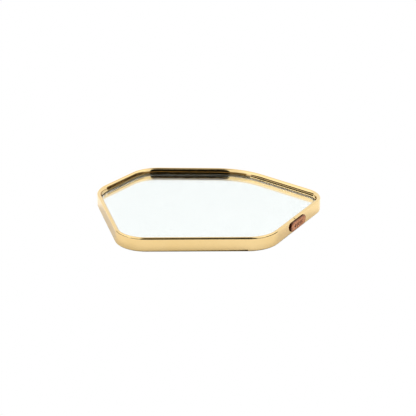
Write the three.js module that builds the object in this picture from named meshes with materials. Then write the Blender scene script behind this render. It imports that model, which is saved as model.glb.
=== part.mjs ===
// A dresser vanity tray: an irregular six-sided mirror in a gold-plated formed rim.
// Millimetres, +Z up. The origin lies on the table, under the middle of the tray's outline,
// with X along the longer side of the outline. Nothing on the tray moves.
import * as THREE from "three";

// ---------------------------------------------------------------- driving dimensions

// Where the straight outer walls would meet, and the outer radius of each bend, counter-clockwise
// seen from above: front left, front right, right, back right, back left and left.
// The rounded outline measures 190 x 160.
const CORNERS = [
  { x: -69.1, y: -80.2, radius: 27 },
  { x: 47.3, y: -78.9, radius: 28.5 },
  { x: 100.9, y: 14, radius: 22 },
  { x: 30.8, y: 78.2, radius: 63 },
  { x: -59.4, y: 80.4, radius: 29 },
  { x: -97.5, y: 24.8, radius: 29 },
];
const BEND_STEPS = 7; // straight facets in each bend

// Heights above the table
const RIM_TOP = 15;
const RIM_BOTTOM = 3;

// The rim's section: a strip folded over into a crest, which slopes down to an inner leg, and
// curled in at its lower edge
const STRIP = 0.6; // sheet thickness
const SHOULDER = 1.5; // radius over the crest's outer edge
const SHOULDER_STEPS = 4;
const CREST_WIDTH = 4;
const CREST_FALL = 4; // how far the crest comes down on its inner side
const CREST_STEPS = 6;
const CURL_RADIUS = 1.4;
const CURL_STEPS = 4;
const JOINT_GAP = 0.5; // between the two ends of the bent strip

// The layers inside the rim, from the bottom up
const LAYER_GAP = 0.2;
const FOOT_HEIGHT = 3.2;
const FELT = 0.6;
const TAB = 0.5;
const BOARD = 1.6;
const FOAM_TAPE = 0.8;
const SILVERING = 0.1;
const GLASS = 2;

// How far in from the outer wall each layer's edge lies
const FELT_INSET = CURL_RADIUS + 0.4;
const BOARD_INSET = 1.8;
const GLASS_INSET = CREST_WIDTH + 0.3;

const SIDE_GAP = 0.2; // between a side wall and what is fixed inside it

// The rim's joint and the badge that covers it, on the right-front wall
const JOINT_SIDE = 1;
const JOINT_FROM_CORNER = 46; // both along the wall, from the front right corner
const BADGE_FROM_CORNER = 50.5;
const BADGE = { length: 27, height: 8, thickness: 1.1, round: 0.4 };
const BADGE_TAPE = { length: 22, height: 5, thickness: 0.1 };
const BADGE_GAP = 0.1; // on both sides of the tape
const SPLICE = { length: 16, height: 7, thickness: 0.4, corner: 1.5 };

// Bent tabs that hold the board up against the rim's inner leg
const TAB_SIZE = { width: 8, reach: 9, rise: 5, bend: 0.9 };
const TAB_PLACES = [
  { side: 0, along: 0.5 },
  { side: 1, along: 0.74 },
  { side: 2, along: 0.45 },
  { side: 3, along: 0.5 },
  { side: 4, along: 0.5 },
  { side: 5, along: 0.48 },
];

const FOOT = { radius: 5, round: 0.7, inset: 15, segments: 24 };
const TAPE_STRIPS = { length: 100, width: 12, middleX: -7, rows: [-54, -18, 18, 54] };

// Heights that follow from the above
const FELT_Z = FOOT_HEIGHT + LAYER_GAP;
const TAB_Z = FELT_Z + FELT + LAYER_GAP;
const BOARD_Z = TAB_Z + TAB + LAYER_GAP;
const FOAM_Z = BOARD_Z + BOARD + LAYER_GAP;
const SILVERING_Z = FOAM_Z + FOAM_TAPE + LAYER_GAP;
const GLASS_Z = SILVERING_Z + SILVERING + LAYER_GAP;
const LEG_BOTTOM = FOAM_Z;
const WALL_MIDDLE = (RIM_TOP + RIM_BOTTOM) / 2;

// ---------------------------------------------------------------- materials

function finish(color, roughness, metalness) {
  return new THREE.MeshStandardMaterial({ color, roughness, metalness });
}

const GOLD = finish(0xe0b468, 0.12, 1);
const BARE_STEEL = finish(0x9a9a98, 0.35, 1);
const CLEAR_GLASS = finish(0xe6f2ee, 0.03, 0);
CLEAR_GLASS.transparent = true;
CLEAR_GLASS.opacity = 0.35;
const SILVER = finish(0xf2f5f5, 0.03, 1);
const HARDBOARD = finish(0x8a6238, 0.85, 0);
const FOAM = finish(0xe8e8e4, 0.95, 0);
const BLACK_FELT = finish(0x1c1b1d, 1, 0);
const RUBBER = finish(0x22221f, 0.7, 0);
const BROWN_LEATHER = finish(0xa9643f, 0.6, 0);
const CLEAR_TAPE = finish(0xd8d2c0, 0.5, 0);

const tray = new THREE.Group();

function addPiece(name, geometry, material, parent = tray) {
  const piece = new THREE.Mesh(geometry, material);
  piece.name = name;
  parent.add(piece);
  return piece;
}

// ---------------------------------------------------------------- the outline

const corners = CORNERS.map((c) => new THREE.Vector2(c.x, c.y));

function sideAt(side) {
  const from = corners[side];
  const to = corners[(side + 1) % corners.length];
  const length = from.distanceTo(to);
  const along = to.clone().sub(from).divideScalar(length);
  return { from, length, along, outward: new THREE.Vector2(along.y, -along.x) };
}

// The stations of one bend: points on the outer wall, each with its outward direction.
function bendStations(corner) {
  const { radius } = CORNERS[corner];
  const before = sideAt((corner + corners.length - 1) % corners.length);
  const after = sideAt(corner);
  const turn = before.outward.angleTo(after.outward);
  const tangent = radius * Math.tan(turn / 2);
  const start = corners[corner].clone().addScaledVector(before.along, -tangent);
  const centre = start.clone().addScaledVector(before.outward, -radius);
  const stations = [];
  for (let step = 0; step <= BEND_STEPS; step++) {
    const angle = before.outward.angle() + (turn * step) / BEND_STEPS;
    const outward = new THREE.Vector2(Math.cos(angle), Math.sin(angle));
    const point = centre.clone().addScaledVector(outward, radius);
    stations.push({ point, outward });
  }
  return stations;
}

// All the bends in order, starting with the one after the wall that holds the joint.
const bends = corners.map((_, i) => (JOINT_SIDE + 1 + i) % corners.length);
const outline = bends.flatMap(bendStations);

function inset(station, distance) {
  return station.point.clone().addScaledVector(station.outward, -distance);
}

// A flat layer of the outline's shape, lying at height z.
function layer(insetDistance, thickness, z) {
  const shape = new THREE.Shape(outline.map((s) => inset(s, insetDistance)));
  const options = { depth: thickness, bevelEnabled: false };
  return new THREE.ExtrudeGeometry(shape, options).translate(0, 0, z);
}

// A group fixed on a wall's outer face: X runs along the wall, Y is up and Z points outward.
function wallFrame(side, distance, z) {
  const { from, along, outward } = sideAt(side);
  const place = from.clone().addScaledVector(along, distance);
  const group = new THREE.Group();
  const basis = new THREE.Matrix4().makeBasis(
    new THREE.Vector3(along.x, along.y, 0),
    new THREE.Vector3(0, 0, 1),
    new THREE.Vector3(outward.x, outward.y, 0),
  );
  group.setRotationFromMatrix(basis);
  group.position.set(place.x, place.y, z);
  tray.add(group);
  return group;
}

// ---------------------------------------------------------------- the rim

// Points along an elliptical arc in the section, each with the direction it faces. Here x is the
// distance in from the outer wall.
function arc(x, z, radiusX, radiusZ, fromDegrees, toDegrees, steps) {
  const points = [];
  for (let i = 0; i <= steps; i++) {
    const a = THREE.MathUtils.degToRad(THREE.MathUtils.lerp(fromDegrees, toDegrees, i / steps));
    const place = new THREE.Vector2(x + radiusX * Math.cos(a), z + radiusZ * Math.sin(a));
    const facing = new THREE.Vector2(Math.cos(a) / radiusX, Math.sin(a) / radiusZ).normalize();
    points.push({ place, facing });
  }
  return points;
}

// The strip's closed section: its outside face from the curl to the inner leg, then back along
// the inside, one sheet thickness behind.
function rimSection() {
  const slopeZ = RIM_TOP - CREST_FALL;
  const curlZ = RIM_BOTTOM + CURL_RADIUS;
  const outside = [
    ...arc(CURL_RADIUS, curlZ, CURL_RADIUS, CURL_RADIUS, 270, 180, CURL_STEPS),
    ...arc(SHOULDER, RIM_TOP - SHOULDER, SHOULDER, SHOULDER, 180, 90, SHOULDER_STEPS),
    ...arc(SHOULDER, slopeZ, CREST_WIDTH - SHOULDER, CREST_FALL, 90, 0, CREST_STEPS).slice(1),
    { place: new THREE.Vector2(CREST_WIDTH, LEG_BOTTOM), facing: new THREE.Vector2(1, 0) },
  ];
  const inside = outside.map((p) => p.place.clone().addScaledVector(p.facing, -STRIP));
  return [...outside.map((p) => p.place), ...inside.reverse()];
}

// Sweeps the section through the stations and closes both ends with flat caps.
function sweepOpen(section, stations) {
  const positions = stations.flatMap((station) =>
    section.flatMap((p) => {
      const place = inset(station, p.x);
      return [place.x, place.y, p.y];
    }),
  );
  const size = section.length;
  const faces = [];
  for (let s = 0; s < stations.length - 1; s++) {
    for (let i = 0; i < size; i++) {
      const a = s * size + i;
      const b = s * size + ((i + 1) % size);
      faces.push(a, a + size, b, b, a + size, b + size);
    }
  }
  const last = (stations.length - 1) * size;
  for (const [a, b, c] of THREE.ShapeUtils.triangulateShape(section, [])) {
    faces.push(c, b, a);
    faces.push(last + a, last + b, last + c);
  }
  const geometry = new THREE.BufferGeometry();
  geometry.setAttribute("position", new THREE.Float32BufferAttribute(positions, 3));
  geometry.setIndex(faces);
  geometry.computeVertexNormals();
  return geometry;
}

function jointStation(direction) {
  const { from, along, outward } = sideAt(JOINT_SIDE);
  const distance = JOINT_FROM_CORNER + (direction * JOINT_GAP) / 2;
  return { point: from.clone().addScaledVector(along, distance), outward };
}

addPiece(
  "rim_band",
  sweepOpen(rimSection(), [jointStation(1), ...outline, jointStation(-1)]),
  GOLD,
);

// The plate welded behind the joint
function roundedPlate(length, height, corner, thickness) {
  const shape = new THREE.Shape();
  const x = length / 2 - corner;
  const y = height / 2 - corner;
  shape.absarc(x, y, corner, 0, Math.PI / 2);
  shape.absarc(-x, y, corner, Math.PI / 2, Math.PI);
  shape.absarc(-x, -y, corner, Math.PI, 1.5 * Math.PI);
  shape.absarc(x, -y, corner, 1.5 * Math.PI, 2 * Math.PI);
  const options = { depth: thickness, bevelEnabled: false, curveSegments: 5 };
  return new THREE.ExtrudeGeometry(shape, options);
}

const joint = wallFrame(JOINT_SIDE, JOINT_FROM_CORNER, WALL_MIDDLE);
const splice = addPiece(
  "seam_splice_plate",
  roundedPlate(SPLICE.length, SPLICE.height, SPLICE.corner, SPLICE.thickness),
  BARE_STEEL,
  joint,
);
splice.position.z = -(STRIP + SIDE_GAP + SPLICE.thickness);

// The tabs: a leg spot-welded inside the wall, bent in under the board
function tabGeometry() {
  const { width, reach, rise, bend } = TAB_SIZE;
  const shape = new THREE.Shape();
  shape.moveTo(bend, 0);
  shape.lineTo(reach, 0);
  shape.lineTo(reach, TAB);
  shape.lineTo(bend, TAB);
  shape.absarc(bend, bend, bend - TAB, -Math.PI / 2, Math.PI, true);
  shape.lineTo(TAB, rise);
  shape.lineTo(0, rise);
  shape.lineTo(0, bend);
  shape.absarc(bend, bend, bend, Math.PI, 1.5 * Math.PI);
  const options = { depth: width, bevelEnabled: false, curveSegments: 4 };
  return new THREE.ExtrudeGeometry(shape, options)
    .translate(0, 0, -width / 2)
    .rotateY(Math.PI / 2);
}

TAB_PLACES.forEach(({ side, along }, i) => {
  const frame = wallFrame(side, sideAt(side).length * along, TAB_Z);
  const tab = addPiece(`rim_tab_${i + 1}`, tabGeometry(), BARE_STEEL, frame);
  tab.position.z = -(STRIP + SIDE_GAP);
});

// ---------------------------------------------------------------- the mirror and its backing

addPiece("mirror_glass", layer(GLASS_INSET, GLASS, GLASS_Z), CLEAR_GLASS);
addPiece("mirror_silvering", layer(GLASS_INSET, SILVERING, SILVERING_Z), SILVER);

TAPE_STRIPS.rows.forEach((y, i) => {
  const { length, width, middleX } = TAPE_STRIPS;
  const strip = roundedPlate(length, width, 1, FOAM_TAPE);
  addPiece(`foam_tape_${i + 1}`, strip, FOAM).position.set(middleX, y, FOAM_Z);
});

addPiece("backing_board", layer(BOARD_INSET, BOARD, BOARD_Z), HARDBOARD);
addPiece("base_felt", layer(FELT_INSET, FELT, FELT_Z), BLACK_FELT);

// ---------------------------------------------------------------- feet

// A stick-on bumper: flat underneath, with a rounded lower edge, one behind each bend
function footGeometry() {
  const { radius, round, segments } = FOOT;
  const edge = arc(radius - round, round, round, round, 270, 360, 4);
  const profile = [
    new THREE.Vector2(0, 0),
    ...edge.map((p) => p.place),
    new THREE.Vector2(radius, FOOT_HEIGHT),
    new THREE.Vector2(0, FOOT_HEIGHT),
  ];
  return new THREE.LatheGeometry(profile, segments).rotateX(Math.PI / 2);
}

corners.forEach((_, corner) => {
  const stations = bendStations(corner);
  const first = stations[0];
  const last = stations[BEND_STEPS];
  const outward = first.outward.clone().add(last.outward).normalize();
  const radius = CORNERS[corner].radius;
  const centre = inset(first, radius);
  const place = centre.addScaledVector(outward, radius - FOOT.inset);
  addPiece(`foot_pad_${corner + 1}`, footGeometry(), RUBBER).position.set(place.x, place.y, 0);
});

// ---------------------------------------------------------------- the badge

// A stadium with softly rounded edges, standing on the wall's face
function badgeGeometry() {
  const { length, height, thickness, round } = BADGE;
  const radius = height / 2 - round;
  const x = length / 2 - height / 2;
  const shape = new THREE.Shape();
  shape.absarc(x, 0, radius, -Math.PI / 2, Math.PI / 2);
  shape.absarc(-x, 0, radius, Math.PI / 2, 1.5 * Math.PI);
  const options = {
    depth: thickness - 2 * round,
    bevelThickness: round,
    bevelSize: round,
    bevelSegments: 2,
    curveSegments: 8,
  };
  return new THREE.ExtrudeGeometry(shape, options).translate(0, 0, round);
}

const badgeFrame = wallFrame(JOINT_SIDE, BADGE_FROM_CORNER, WALL_MIDDLE);
const badgeTape = addPiece(
  "badge_tape",
  roundedPlate(BADGE_TAPE.length, BADGE_TAPE.height, 1, BADGE_TAPE.thickness),
  CLEAR_TAPE,
  badgeFrame,
);
badgeTape.position.z = BADGE_GAP;
const badge = addPiece("leather_badge", badgeGeometry(), BROWN_LEATHER, badgeFrame);
badge.position.z = 2 * BADGE_GAP + BADGE_TAPE.thickness;

export default tray;
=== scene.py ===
"""A dresser vanity tray: an irregular six-sided mirror in a polished gold rim, with a small leather badge.

Shapes are worked out in millimetres and turned into metres as each mesh is made.
"""

import math

import bpy
from mathutils import Matrix, Vector, noise


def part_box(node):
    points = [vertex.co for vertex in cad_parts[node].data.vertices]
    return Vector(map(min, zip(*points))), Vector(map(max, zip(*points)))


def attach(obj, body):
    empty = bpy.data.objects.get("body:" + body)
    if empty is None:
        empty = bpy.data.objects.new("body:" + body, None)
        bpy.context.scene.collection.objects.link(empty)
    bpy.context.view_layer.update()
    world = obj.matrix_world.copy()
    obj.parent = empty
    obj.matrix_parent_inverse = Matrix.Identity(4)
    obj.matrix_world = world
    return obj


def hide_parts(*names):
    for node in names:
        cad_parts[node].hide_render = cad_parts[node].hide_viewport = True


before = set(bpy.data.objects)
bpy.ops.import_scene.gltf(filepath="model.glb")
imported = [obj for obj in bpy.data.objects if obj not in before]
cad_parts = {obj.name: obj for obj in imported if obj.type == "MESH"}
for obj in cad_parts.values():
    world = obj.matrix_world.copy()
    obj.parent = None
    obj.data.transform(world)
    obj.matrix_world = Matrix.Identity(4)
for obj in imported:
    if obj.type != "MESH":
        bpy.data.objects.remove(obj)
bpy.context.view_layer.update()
BODY = "root"
MM = 0.001

# ---------------------------------------------------------------- driving dimensions, in mm

# Where the straight outer walls would meet, and the outer radius of each bend
CORNERS = [
    (-69.1, -80.2, 27),
    (47.3, -78.9, 28.5),
    (100.9, 14, 22),
    (30.8, 78.2, 63),
    (-59.4, 80.4, 29),
    (-97.5, 24.8, 29),
]
JOINT_SIDE = 1  # the wall from the second corner to the third holds the rim's joint and the badge
JOINT_FROM_CORNER = 46
BADGE_FROM_CORNER = 50.5

# The rim's section
STRIP = 0.6
SHOULDER = 1.5  # radius over the outer edge of the crest
CREST_WIDTH = 4
CREST_FALL = 4  # how far the crest slopes down on its inner side
CURL_RADIUS = 1.4
JOINT_GAP = 0.5
JOINT_ROUNDING = 0.2  # how far the strip's cut ends are eased back
# The easing's share at each distance from a cut end; the last stations keep the wall's shading flat
JOINT_EASING = [(0, 1), (0.08, 0.6), (0.22, 0.2), (0.45, 0), (0.6, 0), (1.2, 0)]

GLASS_INSET = CREST_WIDTH + 0.3
BOARD_INSET = 1.8
FELT_INSET = CURL_RADIUS + 0.4

BADGE_LENGTH = 27
BADGE_HEIGHT = 8
BADGE_THICKNESS = 1.1
BADGE_STANDOFF = 0.3
BADGE_ROUNDING = 0.55

FELT_ROUNDING = 0.25
FELT_RINGS = 48  # across each face, so that the unevenness has points to act on
FELT_RING_STEP = 0.02  # of the way to the middle

FOOT_RADIUS = 5
FOOT_SHOULDER = 0.7
FOOT_GROOVES = (1.9, 3.1)
FOOT_GROOVE_DEPTH = 0.16


def span(node):
    """A CAD node's lowest and highest z, in mm."""
    low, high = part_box(node)
    return low.z / MM, high.z / MM


def middle(node):
    """The middle of a CAD node's box, in mm."""
    low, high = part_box(node)
    return (low + high) / 2 / MM


# ---------------------------------------------------------------- outlines


def flat(angle):
    return Vector((math.cos(angle), math.sin(angle)))


def side_of(corners, index):
    """A straight side's start, length, direction and outward direction."""
    start = Vector(corners[index][:2])
    end = Vector(corners[(index + 1) % len(corners)][:2])
    along = (end - start).normalized()
    return start, (end - start).length, along, Vector((along.y, -along.x))


def bend(corners, index, step):
    """Stations (point, outward) round one corner, about step degrees apart, and one just either side."""
    radius = corners[index][2]
    _, _, before, outward_before = side_of(corners, index - 1)
    _, _, after, outward_after = side_of(corners, index)
    turn = outward_before.angle(outward_after)
    reach = radius * math.tan(turn / 2)
    start = Vector(corners[index][:2]) - before * reach
    centre = start - outward_before * radius
    first = math.atan2(outward_before.y, outward_before.x)
    count = max(2, round(math.degrees(turn) / step))
    stations = []
    for i in range(count + 1):
        outward = flat(first + turn * i / count)
        stations.append((centre + outward * radius, outward))
    lead = min(0.3, radius * 0.02)
    stations.insert(0, (stations[0][0] - before * lead, outward_before))
    stations.append((stations[-1][0] + after * lead, outward_after))
    return stations


def rounded(corners, step=2.0, first=0):
    """Stations round a convex outline of (x, y, radius) corners, counter-clockwise."""
    order = [(first + i) % len(corners) for i in range(len(corners))]
    return [station for i in order for station in bend(corners, i, step)]


def fill(stations, spacing):
    """The same closed outline with stations no further apart than spacing."""
    filled = []
    for i, (point, outward) in enumerate(stations):
        end, end_outward = stations[(i + 1) % len(stations)]
        count = max(1, math.ceil((end - point).length / spacing))
        for k in range(count):
            t = k / count
            filled.append((point.lerp(end, t), outward.lerp(end_outward, t).normalized()))
    return filled


def box_corners(length, height, radius):
    x = length / 2
    y = height / 2
    return [(-x, -y, radius), (x, -y, radius), (x, y, radius), (-x, y, radius)]


# ---------------------------------------------------------------- meshes


def mesh_object(name, vertices, faces, material, crease=35):
    """A smooth-shaded mesh from millimetre vertices, with edges sharper than crease kept sharp."""
    mesh = bpy.data.meshes.new(name)
    mesh.from_pydata([Vector(v) * MM for v in vertices], [], faces)
    mesh.validate()
    mesh.shade_smooth()
    mesh.set_sharp_from_angle(angle=math.radians(crease))
    mesh.materials.append(material)
    made = bpy.data.objects.new(name, mesh)
    bpy.context.scene.collection.objects.link(made)
    return made


def slab(stations, rings):
    """Vertices and faces of a solid whose outline is inset, raised and scaled ring by ring, bottom first."""
    size = len(stations)
    centre = sum((p for p, _ in stations), Vector((0, 0))) / size
    vertices = []
    for inset, z, *scale in rings:
        shrink = scale[0] if scale else 1
        for point, outward in stations:
            place = centre + (point - outward * inset - centre) * shrink
            vertices.append((place.x, place.y, z))
    faces = []
    for r in range(len(rings) - 1):
        for i in range(size):
            a = r * size + i
            b = r * size + (i + 1) % size
            faces.append((a, b, b + size, a + size))
    faces.append(tuple(range(size - 1, -1, -1)))
    top = (len(rings) - 1) * size
    faces.append(tuple(range(top, top + size)))
    return vertices, faces


def eased(bottom, top, arris, inset=0.0):
    """The rings of a plate between two heights with its edges eased by arris."""
    soft = arris * 0.3
    return [
        (inset + arris * 1.5, bottom),
        (inset + arris, bottom),
        (inset + soft, bottom + soft),
        (inset, bottom + arris),
        (inset, top - arris),
        (inset + soft, top - soft),
        (inset + arris, top),
        (inset + arris * 1.5, top),
    ]


def arc(x, z, radius_x, radius_z, start, end, steps):
    """Points and normals along an elliptical arc of the section, between two angles in degrees."""
    points = []
    for i in range(steps + 1):
        a = math.radians(start + (end - start) * i / steps)
        normal = Vector((math.cos(a) / radius_x, math.sin(a) / radius_z)).normalized()
        points.append((Vector((x + radius_x * math.cos(a), z + radius_z * math.sin(a))), normal))
    return points


def lathe(profile, segments, centre):
    """Vertices and faces of a solid turned about an upright axis; the profile runs bottom to top."""
    vertices = []
    for radius, z in profile:
        for i in range(segments):
            spoke = flat(2 * math.pi * i / segments) * radius
            vertices.append((centre.x + spoke.x, centre.y + spoke.y, z))
    faces = []
    for r in range(len(profile) - 1):
        for i in range(segments):
            a = r * segments + i
            b = r * segments + (i + 1) % segments
            faces.append((a, b, b + segments, a + segments))
    faces.append(tuple(range(segments - 1, -1, -1)))
    top = (len(profile) - 1) * segments
    faces.append(tuple(range(top, top + segments)))
    return vertices, faces


def place_on_wall(vertices, distance, z):
    """Moves vertices from a wall's own frame (x along, y up, z outward) to the tray's."""
    start, _, along, outward = side_of(CORNERS, JOINT_SIDE)
    origin = start + along * distance
    placed = []
    for x, y, out in vertices:
        flat_place = origin + along * x + outward * out
        placed.append((flat_place.x, flat_place.y, z + y))
    return placed


# ---------------------------------------------------------------- materials


def new_material(name, settings):
    """A material with one Principled shader, whose constants are set directly on its sockets."""
    material = bpy.data.materials.new(name)
    material.use_nodes = True
    shader = material.node_tree.nodes["Principled BSDF"]
    for socket, value in settings.items():
        shader.inputs[socket].default_value = value
    return material


def add(material, kind, settings=None, inputs=None):
    """A node with its settings made and its inputs set or linked."""
    made = material.node_tree.nodes.new(kind)
    for key, value in (settings or {}).items():
        setattr(made, key, value)
    for key, value in (inputs or {}).items():
        if isinstance(value, bpy.types.NodeSocket):
            material.node_tree.links.new(value, made.inputs[key])
        else:
            made.inputs[key].default_value = value
    return made


def feed(material, socket, value):
    shader = material.node_tree.nodes["Principled BSDF"]
    material.node_tree.links.new(value, shader.inputs[socket])


def speckle(material, size, detail=2.0, stretch=(1, 1, 1), distortion=0.0):
    """Noise in the object's own space, whose features are about size mm across."""
    coordinates = add(material, "ShaderNodeTexCoord")
    mapping = add(material, "ShaderNodeMapping", {}, {"Vector": coordinates.outputs["Object"]})
    mapping.inputs["Scale"].default_value = stretch
    texture = add(
        material,
        "ShaderNodeTexNoise",
        {},
        {
            "Vector": mapping.outputs["Vector"],
            "Scale": 1 / (size * MM),
            "Detail": detail,
            "Distortion": distortion,
        },
    )
    return texture.outputs["Fac"]


def cells(material, size, feature="F1"):
    """Voronoi cells about size mm across."""
    coordinates = add(material, "ShaderNodeTexCoord")
    texture = add(
        material,
        "ShaderNodeTexVoronoi",
        {"feature": feature},
        {"Vector": coordinates.outputs["Object"], "Scale": 1 / (size * MM)},
    )
    return texture.outputs["Distance"]


def ramp(material, factor, *stops):
    """Colours blended along a factor; each stop is (position, red, green, blue)."""
    made = add(material, "ShaderNodeValToRGB", {}, {"Fac": factor})
    elements = made.color_ramp.elements
    while len(elements) < len(stops):
        elements.new(0.5)
    for element, (position, red, green, blue) in zip(elements, stops):
        element.position = position
        element.color = (red, green, blue, 1)
    return made.outputs["Color"]


def between(material, value, low, high, start=0.3, end=0.7):
    """The value, where it runs from start to end, as a number from low to high."""
    made = add(
        material,
        "ShaderNodeMapRange",
        {},
        {"Value": value, "From Min": start, "From Max": end, "To Min": low, "To Max": high},
    )
    return made.outputs["Result"]


def mix_colors(material, factor, a, b, blend="MIX"):
    made = add(material, "ShaderNodeMix", {"data_type": "RGBA", "blend_type": blend})
    links = material.node_tree.links
    for socket, value in ((0, factor), (6, a), (7, b)):
        if isinstance(value, bpy.types.NodeSocket):
            links.new(value, made.inputs[socket])
        else:
            made.inputs[socket].default_value = value
    return made.outputs[2]


def bump(material, height, depth, below=None):
    """A bump of about depth mm, laid over another bump where one is given."""
    inputs = {"Height": height, "Distance": depth * MM, "Strength": 1.0}
    if below:
        inputs["Normal"] = below
    return add(material, "ShaderNodeBump", {}, inputs).outputs["Normal"]


def painted(material, name):
    """A number stored on the mesh's points."""
    return add(material, "ShaderNodeAttribute", {"attribute_name": name}).outputs["Fac"]


def gold_plate():
    """Mirror-polished pale gold over steel: warmer in places, with faint polishing haze and ripples."""
    material = new_material("polished_gold", {"Metallic": 1.0})
    tone = speckle(material, 30, detail=3)
    color = ramp(material, tone, (0.3, 0.86, 0.62, 0.29), (0.7, 0.89, 0.66, 0.335))
    feed(material, "Base Color", color)
    haze = speckle(material, 3, detail=5, distortion=1.5)
    feed(material, "Roughness", between(material, haze, 0.03, 0.065))
    ripples = bump(material, speckle(material, 14, detail=1), 0.006)
    hairlines = speckle(material, 0.4, detail=3, stretch=(0.05, 0.05, 1))
    feed(material, "Normal", bump(material, hairlines, 0.0002, ripples))
    return material


def clear_glass():
    material = new_material(
        "clear_glass",
        {
            "Base Color": (0.985, 0.998, 0.992, 1),
            "Transmission Weight": 1.0,
            "IOR": 1.52,
        },
    )
    smears = speckle(material, 14, detail=6, distortion=2)
    feed(material, "Roughness", between(material, smears, 0.0, 0.012, 0.45, 0.8))
    return material


def ground_glass():
    """The glass's cut edge, ground matt, which takes on the colour of the rim close behind it."""
    material = new_material(
        "ground_glass",
        {"Base Color": (0.86, 0.95, 0.9, 1), "Transmission Weight": 1.0, "IOR": 1.52},
    )
    feed(material, "Roughness", between(material, speckle(material, 0.3, detail=5), 0.4, 0.6))
    feed(material, "Normal", bump(material, speckle(material, 0.2, detail=4), 0.01))
    return material


def silvering():
    material = new_material("mirror_silver", {"Metallic": 1.0, "Roughness": 0.01})
    tone = speckle(material, 40, detail=2)
    feed(material, "Base Color", ramp(material, tone, (0.3, 0.965, 0.975, 0.975), (0.7, 0.98, 0.985, 0.985)))
    return material


def mirror_back_paint():
    """The grey paint that protects the silvering."""
    material = new_material("mirror_back_paint", {"Roughness": 0.55})
    mottle = speckle(material, 2.5, detail=5)
    feed(material, "Base Color", ramp(material, mottle, (0.3, 0.13, 0.14, 0.15), (0.7, 0.2, 0.21, 0.22)))
    feed(material, "Normal", bump(material, speckle(material, 0.6, detail=4), 0.02))
    return material


def hardboard():
    material = new_material("hardboard", {"Specular IOR Level": 0.25})
    fibres = speckle(material, 1.2, detail=8, stretch=(1, 0.25, 1), distortion=1.2)
    color = ramp(
        material,
        fibres,
        (0.25, 0.11, 0.06, 0.028),
        (0.5, 0.25, 0.14, 0.07),
        (0.75, 0.36, 0.22, 0.12),
    )
    feed(material, "Base Color", color)
    feed(material, "Roughness", between(material, fibres, 0.75, 0.95))
    feed(material, "Normal", bump(material, fibres, 0.06))
    return material


def black_felt():
    material = new_material(
        "black_felt",
        {"Specular IOR Level": 0.15, "Sheen Weight": 0.35, "Sheen Roughness": 0.5},
    )
    fibres = speckle(material, 0.5, detail=8, distortion=3)
    patches = speckle(material, 9, detail=3)
    dark = ramp(
        material,
        fibres,
        (0.3, 0.006, 0.006, 0.007),
        (0.6, 0.022, 0.021, 0.022),
        (0.8, 0.06, 0.058, 0.058),
    )
    shade = ramp(material, patches, (0.3, 0.75, 0.75, 0.75), (0.7, 1, 1, 1))
    feed(material, "Base Color", mix_colors(material, 1.0, dark, shade, "MULTIPLY"))
    feed(material, "Roughness", between(material, fibres, 0.85, 1.0))
    feed(material, "Normal", bump(material, fibres, 0.18))
    return material


def foot_rubber():
    material = new_material("foot_rubber", {"Specular IOR Level": 0.4})
    dust = speckle(material, 1.4, detail=6)
    color = ramp(material, dust, (0.35, 0.012, 0.012, 0.012), (0.8, 0.035, 0.034, 0.032))
    feed(material, "Base Color", color)
    feed(material, "Roughness", between(material, dust, 0.5, 0.75))
    feed(material, "Normal", bump(material, speckle(material, 0.25, detail=4), 0.01))
    return material


def white_foam():
    material = new_material("white_foam", {"Specular IOR Level": 0.2})
    pores = cells(material, 0.35)
    # The colour is darker at the middle of each pore, where the bump dips: painted shade in the pore dents.
    feed(material, "Base Color", ramp(material, pores, (0.0, 0.62, 0.62, 0.6), (0.5, 0.84, 0.84, 0.82)))
    feed(material, "Roughness", between(material, pores, 0.85, 1.0, 0.0, 0.6))
    feed(material, "Normal", bump(material, pores, 0.06))
    return material


def rolled_steel():
    material = new_material("rolled_steel", {"Metallic": 1.0})
    streaks = speckle(material, 0.8, detail=6, stretch=(0.2, 0.2, 3))
    stains = speckle(material, 3, detail=4)
    feed(material, "Base Color", ramp(material, stains, (0.3, 0.34, 0.33, 0.32), (0.7, 0.52, 0.52, 0.51)))
    feed(material, "Roughness", between(material, streaks, 0.28, 0.5))
    feed(material, "Normal", bump(material, streaks, 0.01))
    return material


def sticky_tape():
    material = new_material("sticky_tape", {"Transmission Weight": 0.3, "IOR": 1.45})
    bubbles = speckle(material, 1.1, detail=3)
    feed(material, "Base Color", ramp(material, bubbles, (0.3, 0.66, 0.62, 0.52), (0.7, 0.8, 0.77, 0.68)))
    feed(material, "Roughness", between(material, bubbles, 0.35, 0.6))
    return material


def brown_leather():
    """Fine-grained brown leather, darker where it is pressed, with near-black burnished edges."""
    material = new_material("brown_leather", {"Specular IOR Level": 0.4})
    mottle = speckle(material, 1.6, detail=5, distortion=0.6)
    face = ramp(
        material,
        mottle,
        (0.3, 0.52, 0.17, 0.066),
        (0.5, 0.69, 0.265, 0.115),
        (0.72, 0.8, 0.36, 0.17),
    )
    pressed = painted(material, "pressed")
    edge = painted(material, "edge")
    darkened = mix_colors(material, pressed, face, (0.1, 0.022, 0.007, 1))
    color = mix_colors(material, edge, darkened, (0.12, 0.03, 0.01, 1))
    feed(material, "Base Color", color)
    feed(material, "Roughness", between(material, edge, 0.5, 0.3, 0.0, 1.0))
    pores = speckle(material, 0.16, detail=4)
    feed(material, "Normal", bump(material, pores, 0.02))
    return material


gold = gold_plate()
glass = clear_glass()
glass_edge = ground_glass()
silver = silvering()
back_paint = mirror_back_paint()
board = hardboard()
felt = black_felt()
rubber = foot_rubber()
foam = white_foam()
steel = rolled_steel()
tape = sticky_tape()
leather = brown_leather()


def stand_for(piece, slot, *nodes):
    """The piece rides on the tray in place of these CAD nodes."""
    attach(piece, BODY)
    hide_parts(*nodes)


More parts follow.
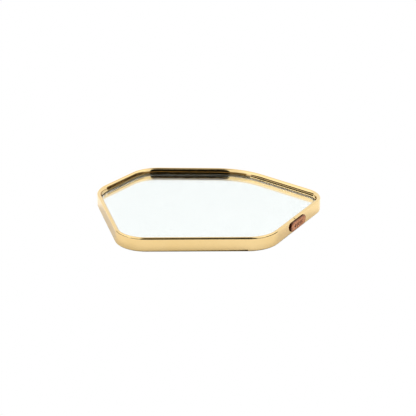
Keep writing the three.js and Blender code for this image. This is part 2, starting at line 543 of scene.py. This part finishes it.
def put_on(node, material, easing=0.08):
    """A CAD node keeps its shape and gets a finish, with its sharp edges eased."""
    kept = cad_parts[node]
    kept.data.materials.clear()
    kept.data.materials.append(material)
    weld = kept.modifiers.new("weld", "WELD")
    weld.merge_threshold = 0.005 * MM
    ease = kept.modifiers.new("ease", "BEVEL")
    ease.width = easing * MM
    ease.segments = 2
    ease.limit_method = "ANGLE"
    ease.angle_limit = math.radians(40)
    ease.harden_normals = False


# ---------------------------------------------------------------- the rim


def straight(a, b, normal):
    """The two ends of a flat stretch of the section, each doubled a hair's breadth in."""
    lead = (b - a).normalized() * 0.04
    return [(a + lead, normal), (b - lead, normal)]


def rim_section():
    """The strip's closed section as points and normals: x is the distance in from the outer wall."""
    bottom, top = span("rim_band")
    leg = span("foam_tape_1")[0]
    curl = arc(CURL_RADIUS, bottom + CURL_RADIUS, CURL_RADIUS, CURL_RADIUS, 270, 180, 14)
    shoulder = arc(SHOULDER, top - SHOULDER, SHOULDER, SHOULDER, 180, 90, 22)
    slope = arc(SHOULDER, top - CREST_FALL, CREST_WIDTH - SHOULDER, CREST_FALL, 90, 0, 30)
    left = Vector((-1, 0))
    right = Vector((1, 0))
    outside = list(curl)
    outside += straight(curl[-1][0], shoulder[0][0], left)
    outside += shoulder
    outside += slope[1:]
    outside += straight(slope[-1][0], Vector((CREST_WIDTH, leg + 0.1)), right)
    inside = [(point - normal * STRIP, -normal) for point, normal in reversed(outside)]
    return outside + inside


def rim_stations():
    """Stations from one side of the joint right round to the other; the third value eases the cut ends."""
    start, _, along, outward = side_of(CORNERS, JOINT_SIDE)
    joint = start + along * JOINT_FROM_CORNER
    stations = [(p, o, 0) for p, o in rounded(CORNERS, 1.5, first=JOINT_SIDE + 1)]
    for distance, share in reversed(JOINT_EASING):
        reach = along * (JOINT_GAP / 2 + distance)
        stations.insert(0, (joint + reach, outward, JOINT_ROUNDING * share))
        stations.append((joint - reach, outward, JOINT_ROUNDING * share))
    return stations


def rim_strip():
    section = rim_section()
    stations = rim_stations()
    size = len(section)
    vertices = []
    for point, outward, easing in stations:
        for place, normal in section:
            eased_place = place - normal * easing
            at = point - outward * eased_place.x
            vertices.append((at.x, at.y, eased_place.y))
    faces = []
    for s in range(len(stations) - 1):
        for i in range(size):
            a = s * size + i
            b = s * size + (i + 1) % size
            faces.append((a, a + size, b + size, b))
    last = (len(stations) - 1) * size
    faces.append(tuple(range(size)))
    faces.append(tuple(range(last + size - 1, last - 1, -1)))
    strip = mesh_object("rim_strip", vertices, faces, gold)
    stand_for(strip, "gold_rim", "rim_band")


rim_strip()
for i in range(6):
    put_on(f"rim_tab_{i + 1}", steel)
put_on("seam_splice_plate", steel)

# ---------------------------------------------------------------- the mirror and its backing

outline = rounded(CORNERS, 2.0)


def layer(name, node, inset, arris, material, slot):
    """A flat layer of the tray's outline, as high as its CAD node."""
    bottom, top = span(node)
    piece = mesh_object(name, *slab(outline, eased(bottom, top, arris, inset)), material)
    stand_for(piece, slot, node)
    return piece


glass_plate = layer("glass_plate", "mirror_glass", GLASS_INSET, 0.25, glass, "clear_glass")
glass_plate.data.materials.append(glass_edge)
for polygon in glass_plate.data.polygons:
    if abs(polygon.normal.z) < 0.9:
        polygon.material_index = 1
coating = layer("silver_coating", "mirror_silvering", GLASS_INSET, 0.02, silver, "silvering")
coating.data.materials.append(back_paint)
for polygon in coating.data.polygons:
    if polygon.normal.z < 0.5:
        polygon.material_index = 1
layer("hardboard_panel", "backing_board", BOARD_INSET, 0.15, board, "hardboard")

for i in range(4):
    put_on(f"foam_tape_{i + 1}", foam, 0.15)


def felt_sheet():
    """Needle felt, a little uneven, with its edges softly rounded over."""
    bottom, top = span("base_felt")
    dense = fill(outline, 1.2)
    rim = eased(bottom, top, FELT_ROUNDING, FELT_INSET)
    inward = [1 - FELT_RING_STEP * (i + 1) for i in range(FELT_RINGS)]
    under = [(FELT_INSET + FELT_ROUNDING, bottom, scale) for scale in reversed(inward)]
    over = [(FELT_INSET + FELT_ROUNDING, top, scale) for scale in inward]
    vertices, faces = slab(dense, [*under, *rim, *over])
    uneven = []
    for x, y, z in vertices:
        swell = 0.05 * noise.noise(Vector((x, y, z)) * 0.35) + 0.03 * noise.noise(Vector((x, y, z)) * 1.1)
        uneven.append((x, y, z + swell))
    sheet = mesh_object("felt_sheet", uneven, faces, felt)
    stand_for(sheet, "felt", "base_felt")


felt_sheet()

# ---------------------------------------------------------------- feet


def foot(index):
    """A moulded bumper: a soft shoulder, and two shallow rings round its flat underside."""
    node = f"foot_pad_{index}"
    _, top = span(node)
    radius = FOOT_RADIUS
    profile = [(0.4, 0.12), (0.7, 0)]
    for groove in FOOT_GROOVES:
        profile.append((groove - 0.35, 0))
        profile.append((groove - 0.15, FOOT_GROOVE_DEPTH))
        profile.append((groove + 0.15, FOOT_GROOVE_DEPTH))
        profile.append((groove + 0.35, 0))
    profile.append((radius - FOOT_SHOULDER - 0.05, 0))
    for p, _ in arc(radius - FOOT_SHOULDER, FOOT_SHOULDER, FOOT_SHOULDER, FOOT_SHOULDER, -85, 0, 9):
        profile.append((p.x, p.y))
    profile.append((radius, top - 0.25))
    profile.append((radius - 0.06, top - 0.06))
    profile.append((radius - 0.25, top))
    bumper = mesh_object(f"foot_bumper_{index}", *lathe(profile, 72, middle(node)), rubber)
    stand_for(bumper, "foot_rubber", node)


for i in range(6):
    foot(i + 1)

# ---------------------------------------------------------------- the badge

BORDER_AT = 1.2  # in from the badge's edge
BORDER_WIDTH = 0.17
LEAF_LENGTH = 2.9
LEAF_WIDTH = 1.25
LEAF_PAIRS = 5
LEAF_SPACING = 3
STEM = 8.2  # half the sprig's length


def leaf_depth(x, y):
    """How deep the sprig is pressed at a point of the badge's face, from 0 to 1."""
    depth = 0.0
    if abs(x) < STEM:
        depth = math.exp(-((y / 0.16) ** 2))
    for i in range(LEAF_PAIRS):
        root = -STEM + 1.1 + i * LEAF_SPACING
        for up in (1, -1):
            angle = math.radians(42) * up
            dx = x - root
            along = dx * math.cos(angle) + y * math.sin(angle)
            across = -dx * math.sin(angle) + y * math.cos(angle)
            t = along / LEAF_LENGTH
            if 0 < t < 1:
                half = LEAF_WIDTH / 2 * math.sin(math.pi * t**0.8)
                depth = max(depth, min(1, max(0, (half - abs(across)) / 0.12)))
    return depth


def grain(x, y):
    """Leather grain: small rounded pebbles between fine creases, in mm."""
    near, _ = noise.voronoi(Vector((x, y, 0)) * 2.1)
    crease = min(1, (near[1] - near[0]) / 0.3)
    return 0.03 * crease + 0.012 * noise.noise(Vector((x, y, 3)) * 7)


def badge():
    half = BADGE_HEIGHT / 2
    rounding = BADGE_ROUNDING
    stations = fill(rounded(box_corners(BADGE_LENGTH, BADGE_HEIGHT, half), 2.0), 0.16)
    rings = [(rounding * 0.6, 0), (0.08, 0.1), (0, 0.3), (0, 0.6), (0, BADGE_THICKNESS - rounding)]
    for i in range(1, 7):
        a = math.radians(15 * i)
        rings.append((rounding * (1 - math.cos(a)), BADGE_THICKNESS - rounding * (1 - math.sin(a))))
    inset = rounding
    while inset < half - 0.1:
        inset += 0.12
        rings.append((min(inset, half - 0.06), BADGE_THICKNESS))
    vertices, faces = slab(stations, rings)
    shaped = []
    pressed = []
    edge = []
    for index, (x, y, z) in enumerate(vertices):
        inset = rings[index // len(stations)][0]
        on_face = min(1, max(0, (inset - 0.2) / 0.5)) if z > BADGE_THICKNESS * 0.6 else 0
        border = math.exp(-(((inset - BORDER_AT) / BORDER_WIDTH) ** 2))
        motif = leaf_depth(x, y)
        crown = 0.12 * (1 - ((half - inset) / half) ** 2)
        lift = on_face * (crown + grain(x, y) - 0.14 * border - 0.24 * motif)
        shaped.append((x, y, z + lift - 0.12))
        pressed.append(on_face * max(0.75 * border, motif))
        edge.append(1 - on_face)
    raised = [(x, y, z + BADGE_STANDOFF) for x, y, z in shaped]
    bottom, top = span("leather_badge")
    placed = place_on_wall(raised, BADGE_FROM_CORNER, (bottom + top) / 2)
    piece = mesh_object("leather_tag", placed, faces, leather, crease=60)
    for name, values in (("pressed", pressed), ("edge", edge)):
        attribute = piece.data.attributes.new(name, "FLOAT", "POINT")
        attribute.data.foreach_set("value", values)
    stand_for(piece, "brown_leather", "leather_badge")


badge()
put_on("badge_tape", tape, 0.03)

# ---------------------------------------------------------------- floor, light and camera


SKY = (0.985, 1, 1)
SKY_STRENGTH = 1.06
DARK = (1, 0.8, 0.4)  # the brown of an unlit room


def emitter(name, color, strength):
    material = bpy.data.materials.new(name)
    material.use_nodes = True
    material.cycles.emission_sampling = "NONE"
    material.node_tree.nodes.clear()
    shine = add(material, "ShaderNodeEmission", {}, {"Color": (*color, 1), "Strength": strength})
    output = add(material, "ShaderNodeOutputMaterial")
    material.node_tree.links.new(shine.outputs["Emission"], output.inputs["Surface"])
    return material


def card_emitter(name, color, strength):
    """An emitter that the gold sees in its own tone, and the mirror, through its glass, as the sky."""
    material = emitter(name, color, 1)
    path = add(material, "ShaderNodeLightPath")
    in_glass = add(material, "ShaderNodeMath", {"operation": "GREATER_THAN"})
    glints = add(material, "ShaderNodeMath", {"operation": "LESS_THAN"})
    in_mirror = add(material, "ShaderNodeMath", {"operation": "MULTIPLY"})
    in_glass.inputs[1].default_value = 0.5
    glints.inputs[1].default_value = 1.5
    links = material.node_tree.links
    links.new(path.outputs["Transmission Depth"], in_glass.inputs[0])
    links.new(path.outputs["Glossy Depth"], glints.inputs[0])
    links.new(in_glass.outputs["Value"], in_mirror.inputs[0])
    links.new(glints.outputs["Value"], in_mirror.inputs[1])
    own = (*(c * strength for c in color), 1)
    sky = (*(c * SKY_STRENGTH for c in SKY), 1)
    seen = mix_colors(material, in_mirror.outputs["Value"], own, sky)
    links.new(seen, material.node_tree.nodes["Emission"].inputs["Color"])
    return material


def stage_quad(name, corners, material):
    mesh = bpy.data.meshes.new(name)
    mesh.from_pydata(corners, [], [(0, 1, 2, 3)])
    mesh.materials.append(material)
    made = bpy.data.objects.new(name, mesh)
    bpy.context.scene.collection.objects.link(made)
    return made


def card(name, lower, upper, width, tone, strength, lights_floor=False):
    """A studio card between the middles of its two level edges, seen only in reflections; in metres."""
    lower = Vector(lower)
    upper = Vector(upper)
    side = Vector((0, 0, 1)).cross(lower).normalized() * width / 2
    corners = [lower - side, lower + side, upper + side, upper - side]
    made = stage_quad(name, corners, card_emitter(name, tone, strength))
    made.visible_camera = False
    made.visible_diffuse = lights_floor
    made.visible_shadow = False
    return made


def floor_quad(name, material):
    size = 4
    corners = [(-size, -size, 0), (size, -size, 0), (size, size, 0), (-size, size, 0)]
    return stage_quad(name, corners, material)


def floors():
    """The camera sees plain white paper, and the gold reflects paper that the tray shades."""
    seen = floor_quad("floor", emitter("white_paper", (1, 1, 1), 1.0))
    seen.visible_diffuse = False
    seen.visible_glossy = False
    seen.visible_transmission = False
    seen.visible_shadow = False
    shaded = new_material("shaded_paper", {"Roughness": 1.0, "Specular IOR Level": 0.0})
    shader = shaded.node_tree.nodes["Principled BSDF"]
    shader.inputs["Base Color"].default_value = (0.86, 0.85, 0.815, 1)
    reflected = floor_quad("reflected_floor", shaded)
    reflected.visible_camera = False


def key_light(name, place, size, power):
    """A soft light that the gold doesn't reflect."""
    data = bpy.data.lights.new(name, "AREA")
    data.size = size
    data.energy = power
    light = bpy.data.objects.new(name, data)
    light.location = place
    light.rotation_euler = Vector(place).to_track_quat("Z", "Y").to_euler()
    light.visible_glossy = False
    bpy.context.scene.collection.objects.link(light)


floors()
key_light("key_right", (0.7, 1.0, 1.1), 0.7, 12)
key_light("key_left", (-0.7, 0.8, 1.1), 0.7, 7)
flag = card("flag_front", (0.001, -1.2, 0), (0.001, -1.2, 2), 5, DARK, 0.01, lights_floor=True)
flag.visible_glossy = False
# A dark sheet laid flat on the floor along the front wall and under the tray's edge, seen only in the gold:
# a painted contact shadow that darkens the reflected floor in the rim's lower curl.
card("card_painted_contact_shadow", (-0.01, -0.084, 0.0005), (-0.01, -0.06, 0.0005), 0.084, DARK, 0.08)
card("card_front", (0.1, -1.5, 0), (0.1, -1.5, 2.6), 1.7, DARK, 0.01)
card("card_front_floor", (0.01, -0.15, 0.001), (0.1, -1.5, 0.001), 0.8, DARK, 0.01)
card("card_front_left", (-1.1, -1.3, 0), (-1.1, -1.3, 0.5), 0.9, DARK, 0.12)
card("card_front_right", (1.3, -1.1, 0), (1.3, -1.1, 0.5), 1.1, DARK, 0.15)
card("card_above", (0.001, -1.1, 2.3), (0.001, 0.7, 2.3), 0.9, (1, 0.92, 0.75), 0.07)
card("card_left", (-1.6, 0.1, 0.64), (-1.0, 0.1, 2.2), 1.8, (1, 1, 1), 1.35)
card("card_left_middle", (-1.6, 0.1, 0.22), (-1.6, 0.1, 0.64), 1.8, DARK, 0.01)
card("card_left_low", (-1.6, 0.1, 0), (-1.6, 0.1, 0.22), 1.8, (0.97, 1, 0.95), 0.6)
card("card_right", (1.6, 0.1, 0.95), (1.0, 0.1, 2.2), 1.8, (1, 1, 1), 1.35)
card("card_right_middle", (1.6, -0.1, 0.4), (1.6, -0.1, 0.95), 1.5, (1, 0.93, 0.75), 0.35)
card("card_right_low", (1.6, -0.1, 0), (1.6, -0.1, 0.4), 1.5, DARK, 0.01)

world = bpy.data.worlds.new("studio")
world.use_nodes = True
world.node_tree.nodes["Background"].inputs["Color"].default_value = (*SKY, 1)
world.node_tree.nodes["Background"].inputs["Strength"].default_value = SKY_STRENGTH
bpy.context.scene.world = world

CAMERA_DISTANCE = 1.0  # metres from a point just above the table, under the middle of the tray
CAMERA_AIM = 0.002
CAMERA_ELEVATION = math.radians(22.5)
CAMERA_LENS = 102.45
CAMERA_SHIFT = (-0.0007, 0.0152)

camera_data = bpy.data.cameras.new("camera")
camera_data.lens = CAMERA_LENS
camera_data.shift_x, camera_data.shift_y = CAMERA_SHIFT
camera = bpy.data.objects.new("camera", camera_data)
bpy.context.scene.collection.objects.link(camera)
camera.location = (
    0,
    -CAMERA_DISTANCE * math.cos(CAMERA_ELEVATION),
    CAMERA_DISTANCE * math.sin(CAMERA_ELEVATION) + CAMERA_AIM,
)
camera.rotation_euler = (math.pi / 2 - CAMERA_ELEVATION, 0, 0)
bpy.context.scene.camera = camera

view = bpy.context.scene.view_settings
view.view_transform = "Standard"
view.look = "None"
